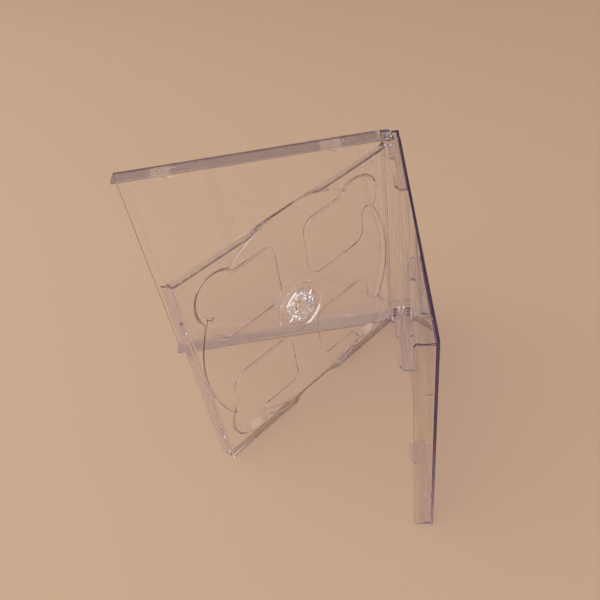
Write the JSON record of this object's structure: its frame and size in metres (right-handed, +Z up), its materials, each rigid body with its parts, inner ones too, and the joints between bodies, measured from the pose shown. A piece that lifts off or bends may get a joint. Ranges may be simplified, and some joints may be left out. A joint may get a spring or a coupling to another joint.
{
  "type": "cd case",
  "caption": "Clear plastic disc case that opens like a book, with a swing tray that takes a disc on each face, all on a shared spine hinge.",
  "frame": {"origin": "on the shared pivot line of the covers and the tray, at the level of the bottom edges that the open case stands on", "axes": "+Z up the pivot line; +X out through the back cover's outer face; -Y from the spine towards the back cover's free edge"},
  "size_m": [0.1417, 0.142, 0.1247],
  "materials": {
    "clear_styrene": "clear injection-moulded styrene, polished, with a faint lilac tint at the edges"
  },
  "bodies": {
    "back_cover": {"back_cover": "clear_styrene"},
    "swing_tray": {"swing_tray": "clear_styrene"},
    "front_cover": {"front_cover": "clear_styrene"}
  },
  "joints": [
    {"name": "tray_hinge", "type": "hinge", "parent": "back_cover", "child": "swing_tray", "pos_m": [0, 0, 0.06235], "axis": [0, 0, -1], "range_deg": [-44.67, 45.33]},
    {"name": "cover_hinge", "type": "hinge", "parent": "swing_tray", "child": "front_cover", "pos_m": [0, 0, 0.06235], "axis": [0, 0, -1], "range_deg": [-39.03, 50.97]}
  ]
}
